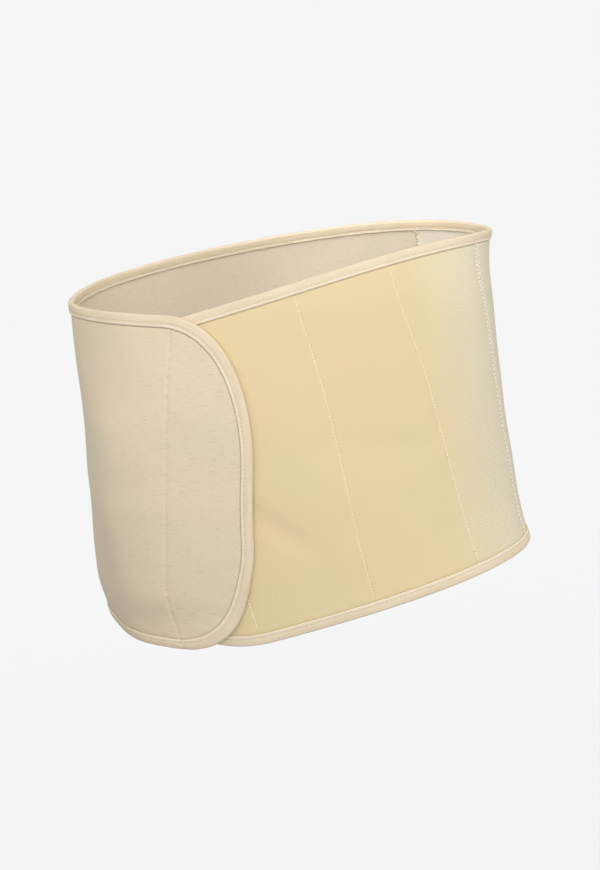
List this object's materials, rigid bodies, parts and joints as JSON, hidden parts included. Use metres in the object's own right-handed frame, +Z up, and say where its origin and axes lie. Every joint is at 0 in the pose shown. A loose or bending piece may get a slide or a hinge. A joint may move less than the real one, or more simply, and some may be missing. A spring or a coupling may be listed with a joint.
{
  "type": "abdominal binder",
  "caption": "Elastic abdominal binder, a wide cloth band wrapped round the waist and closed at the front by a rounded flap that hooks onto a plush panel.",
  "frame": {"origin": "in the middle of the hollow where the waist goes, level with the top edge of the back", "axes": "+Z up towards the wearer's chest, -Y to the wearer's front, +X to the wearer's left"},
  "size_m": [0.3448, 0.2379, 0.2793],
  "materials": {
    "smooth_knit": "smooth beige knit, matt",
    "ribbed_elastic": "finely ribbed beige elastic, matt",
    "plush_loop": "short brushed loop pile, matt",
    "hook_tape": "moulded hook tape, matt",
    "binding_tape": "folded cream tape, matt"
  },
  "bodies": {
    "root": {"main_panel": "smooth_knit", "side_gusset": "ribbed_elastic", "front_panel": "plush_loop", "hook_patch": "hook_tape", "binding": "binding_tape"}
  },
  "joints": []
}
